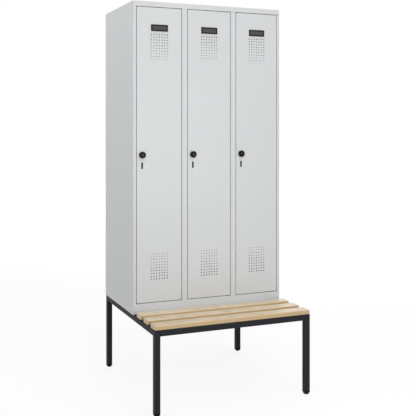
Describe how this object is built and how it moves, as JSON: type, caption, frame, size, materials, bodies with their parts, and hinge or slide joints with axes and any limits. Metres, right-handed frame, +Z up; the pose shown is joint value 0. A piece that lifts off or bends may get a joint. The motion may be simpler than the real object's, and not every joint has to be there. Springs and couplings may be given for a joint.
{
  "type": "locker with bench",
  "caption": "Steel changing-room locker with perforated doors, turn-knob locks and coat rails inside, standing on a square-tube bench frame with a slatted wooden seat in front.",
  "frame": {"origin": "on the floor, under the middle of the whole piece", "axes": "+X to the right seen from the front, +Y to the back, +Z up; the doors and the seat face -Y"},
  "size_m": [0.9, 0.815, 2.12],
  "materials": {
    "light_grey_powder_coat": "fine satin powder coat on sheet steel",
    "anthracite_powder_coat": "satin powder coat on steel tube",
    "clear_coated_beech": "clear coated pale hardwood",
    "black_plastic": "moulded satin black",
    "dark_grey_plastic": "moulded satin dark grey",
    "zinc_plated_steel": "zinc plated",
    "chromed_steel": "satin chrome plated"
  },
  "bodies": {
    "cabinet_and_bench": {"leg_front_left": "anthracite_powder_coat", "leg_front_right": "anthracite_powder_coat", "leg_rear_left": "anthracite_powder_coat", "leg_rear_right": "anthracite_powder_coat", "foot_cap_front_left": "black_plastic", "foot_cap_front_right": "black_plastic", "foot_cap_rear_left": "black_plastic", "foot_cap_rear_right": "black_plastic", "rail_front": "anthracite_powder_coat", "rail_rear": "anthracite_powder_coat", "rail_middle": "anthracite_powder_coat", "rail_left": "anthracite_powder_coat", "rail_right": "anthracite_powder_coat", "slat_1": "clear_coated_beech", "slat_2": "clear_coated_beech", "slat_3": "clear_coated_beech", "side_panel_left": "light_grey_powder_coat", "side_panel_right": "light_grey_powder_coat", "partition_1": "light_grey_powder_coat", "partition_2": "light_grey_powder_coat", "top_panel": "light_grey_powder_coat", "bottom_panel": "light_grey_powder_coat", "back_panel": "light_grey_powder_coat", "hat_shelf_1": "light_grey_powder_coat", "hat_shelf_2": "light_grey_powder_coat", "hat_shelf_3": "light_grey_powder_coat", "coat_rail_1": "zinc_plated_steel", "coat_rail_2": "zinc_plated_steel", "coat_rail_3": "zinc_plated_steel", "hinge_pin_upper_1": "zinc_plated_steel", "hinge_pin_upper_2": "zinc_plated_steel", "hinge_pin_upper_3": "zinc_plated_steel", "hinge_pin_lower_1": "zinc_plated_steel", "hinge_pin_lower_2": "zinc_plated_steel", "hinge_pin_lower_3": "zinc_plated_steel"},
    "door_1": {"door_panel_1": "light_grey_powder_coat", "label_holder_1": "dark_grey_plastic", "lock_case_1": "black_plastic"},
    "door_2": {"door_panel_2": "light_grey_powder_coat", "label_holder_2": "dark_grey_plastic", "lock_case_2": "black_plastic"},
    "door_3": {"door_panel_3": "light_grey_powder_coat", "label_holder_3": "dark_grey_plastic", "lock_case_3": "black_plastic"},
    "knob_1": {"lock_knob_1": "black_plastic", "lock_cam_1": "zinc_plated_steel"},
    "knob_2": {"lock_knob_2": "black_plastic", "lock_cam_2": "zinc_plated_steel"},
    "knob_3": {"lock_knob_3": "black_plastic", "lock_cam_3": "zinc_plated_steel"},
    "plug_1": {"key_plug_1": "chromed_steel"},
    "plug_2": {"key_plug_2": "chromed_steel"},
    "plug_3": {"key_plug_3": "chromed_steel"},
    "hook_1_left": {"coat_hook_1_left": "black_plastic"},
    "hook_1_right": {"coat_hook_1_right": "black_plastic"},
    "hook_2_left": {"coat_hook_2_left": "black_plastic"},
    "hook_2_right": {"coat_hook_2_right": "black_plastic"},
    "hook_3_left": {"coat_hook_3_left": "black_plastic"},
    "hook_3_right": {"coat_hook_3_right": "black_plastic"}
  },
  "joints": [
    {"name": "door_1_hinge", "type": "hinge", "parent": "cabinet_and_bench", "child": "door_1", "pos_m": [-0.17817, -0.0865, 1.289], "axis": [0, 0, 1], "range_deg": [0, 110]},
    {"name": "door_2_hinge", "type": "hinge", "parent": "cabinet_and_bench", "child": "door_2", "pos_m": [0.12117, -0.0865, 1.289], "axis": [0, 0, 1], "range_deg": [0, 110]},
    {"name": "door_3_hinge", "type": "hinge", "parent": "cabinet_and_bench", "child": "door_3", "pos_m": [0.4205, -0.0865, 1.289], "axis": [0, 0, 1], "range_deg": [0, 110]},
    {"name": "knob_1_turn", "type": "hinge", "parent": "door_1", "child": "knob_1", "pos_m": [-0.3995, -0.0925, 1.2885], "axis": [0, -1, 0], "range_deg": [0, 90]},
    {"name": "knob_2_turn", "type": "hinge", "parent": "door_2", "child": "knob_2", "pos_m": [-0.10017, -0.0925, 1.2885], "axis": [0, -1, 0], "range_deg": [0, 90]},
    {"name": "knob_3_turn", "type": "hinge", "parent": "door_3", "child": "knob_3", "pos_m": [0.19917, -0.0925, 1.2885], "axis": [0, -1, 0], "range_deg": [0, 90]},
    {"name": "plug_1_turn", "type": "hinge", "parent": "knob_1", "child": "plug_1", "pos_m": [-0.3995, -0.0925, 1.2885], "axis": [0, -1, 0], "range_deg": [0, 90]},
    {"name": "plug_2_turn", "type": "hinge", "parent": "knob_2", "child": "plug_2", "pos_m": [-0.10017, -0.0925, 1.2885], "axis": [0, -1, 0], "range_deg": [0, 90]},
    {"name": "plug_3_turn", "type": "hinge", "parent": "knob_3", "child": "plug_3", "pos_m": [0.19917, -0.0925, 1.2885], "axis": [0, -1, 0], "range_deg": [0, 90]},
    {"name": "hook_1_left_slide", "type": "slide", "parent": "cabinet_and_bench", "child": "hook_1_left", "axis": [1, 0, 0], "range_m": [-0.05, 0.05]},
    {"name": "hook_1_right_slide", "type": "slide", "parent": "cabinet_and_bench", "child": "hook_1_right", "axis": [1, 0, 0], "range_m": [-0.05, 0.05]},
    {"name": "hook_2_left_slide", "type": "slide", "parent": "cabinet_and_bench", "child": "hook_2_left", "axis": [1, 0, 0], "range_m": [-0.05, 0.05]},
    {"name": "hook_2_right_slide", "type": "slide", "parent": "cabinet_and_bench", "child": "hook_2_right", "axis": [1, 0, 0], "range_m": [-0.05, 0.05]},
    {"name": "hook_3_left_slide", "type": "slide", "parent": "cabinet_and_bench", "child": "hook_3_left", "axis": [1, 0, 0], "range_m": [-0.05, 0.05]},
    {"name": "hook_3_right_slide", "type": "slide", "parent": "cabinet_and_bench", "child": "hook_3_right", "axis": [1, 0, 0], "range_m": [-0.05, 0.05]}
  ]
}
